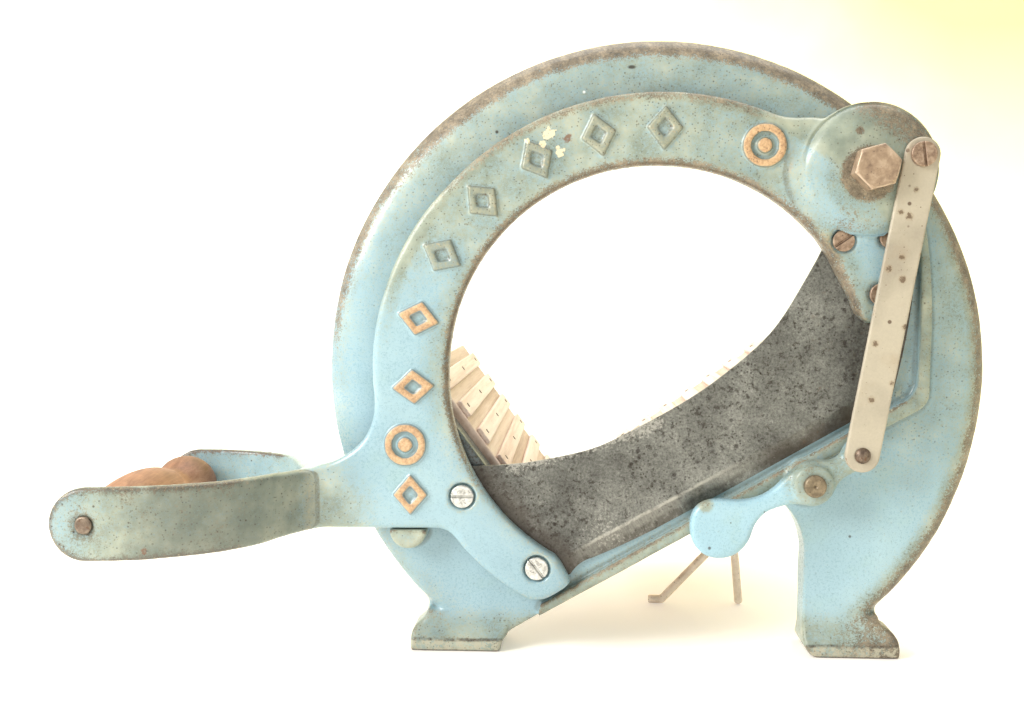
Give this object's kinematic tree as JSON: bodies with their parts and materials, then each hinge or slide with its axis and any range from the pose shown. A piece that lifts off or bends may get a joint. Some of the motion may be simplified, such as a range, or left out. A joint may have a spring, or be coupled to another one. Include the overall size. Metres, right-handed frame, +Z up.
{
  "type": "lever bread slicer",
  "caption": "Table bread slicer: a cast ring frame with a pivoting blade arm, forked wooden handle, linked slice gauge and a V-shaped batten trough behind.",
  "frame": {"origin": "bottom centre of the whole box, on the table plane", "axes": "+Z up, +Y from the blade side to the trough at the back, +X to the right seen from the blade side, handle towards -X"},
  "size_m": [0.4504, 0.2753, 0.3111],
  "materials": {
    "enamel_frame": "chipped pale blue stove enamel on cast iron, brown worn edges",
    "enamel_arm": "chipped pale blue enamel, tan worn raised marks",
    "enamel_lever": "smooth pale blue enamel",
    "blade_steel": "dark mottled carbon steel with a ground edge",
    "screw_bright": "bright worn slotted heads",
    "screw_brown": "browned steel",
    "bolt_steel": "brownish grey steel",
    "washer_steel": "dull steel",
    "link_metal": "aged ivory coating with rust spots",
    "pin_brass": "dull browned brass",
    "grip_wood": "turned, handled smooth",
    "rivet_steel": "hammered ends",
    "trough_wood": "pale bare wood",
    "batten_wood": "pale bare wood strips",
    "nail_steel": "dull",
    "strap_steel": "dark bare steel"
  },
  "bodies": {
    "base": {"frame": "enamel_frame", "pivot_bolt": "bolt_steel", "pivot_shim": "washer_steel", "pivot_washer": "washer_steel", "pivot_nut": "bolt_steel", "gauge_pin": "pin_brass", "gauge_washer": "washer_steel", "gauge_nut": "bolt_steel", "gauge_nut_washer": "washer_steel", "left_board": "trough_wood", "right_board": "trough_wood", "battens": "batten_wood", "batten_nails": "nail_steel", "corner_nails": "nail_steel", "trough_screws": "nail_steel", "trough_strap": "strap_steel", "stand_screw": "nail_steel", "rear_stand": "strap_steel"},
    "arm": {"blade_arm": "enamel_arm", "blade": "blade_steel", "toe_screws": "screw_bright", "tab_screws": "screw_brown", "link_washer": "washer_steel", "link_screw": "screw_brown", "handle_rod": "rivet_steel"},
    "grip": {"handle_grip": "grip_wood"},
    "link": {"link_bar": "link_metal"},
    "gauge": {"gauge_lever": "enamel_lever", "link_rivet": "screw_brown"}
  },
  "joints": [
    {"name": "arm_hinge", "type": "hinge", "parent": "base", "child": "arm", "pos_m": [0.16195, -0.0775, 0.244], "axis": [0, 1, 0], "range_deg": [0, 60]},
    {"name": "grip_spin", "type": "hinge", "parent": "arm", "child": "grip", "pos_m": [-0.20092, -0.0735, 0.077], "axis": [0.1093, 0.994, 0], "continuous": true},
    {"name": "link_pivot", "type": "hinge", "parent": "arm", "child": "link", "pos_m": [0.18425, -0.0895, 0.2502], "axis": [0, 1, 0], "range_deg": [-64, 0]},
    {"name": "gauge_hinge", "type": "hinge", "parent": "base", "child": "gauge", "pos_m": [0.13685, -0.0815, 0.0902], "axis": [0, 1, 0], "range_deg": [0, 55]}
  ],
  "couplings": [
    {"joint": "link_pivot", "follows": "arm_hinge", "ratio": -1.06},
    {"joint": "gauge_hinge", "follows": "arm_hinge", "ratio": 0.915}
  ]
}
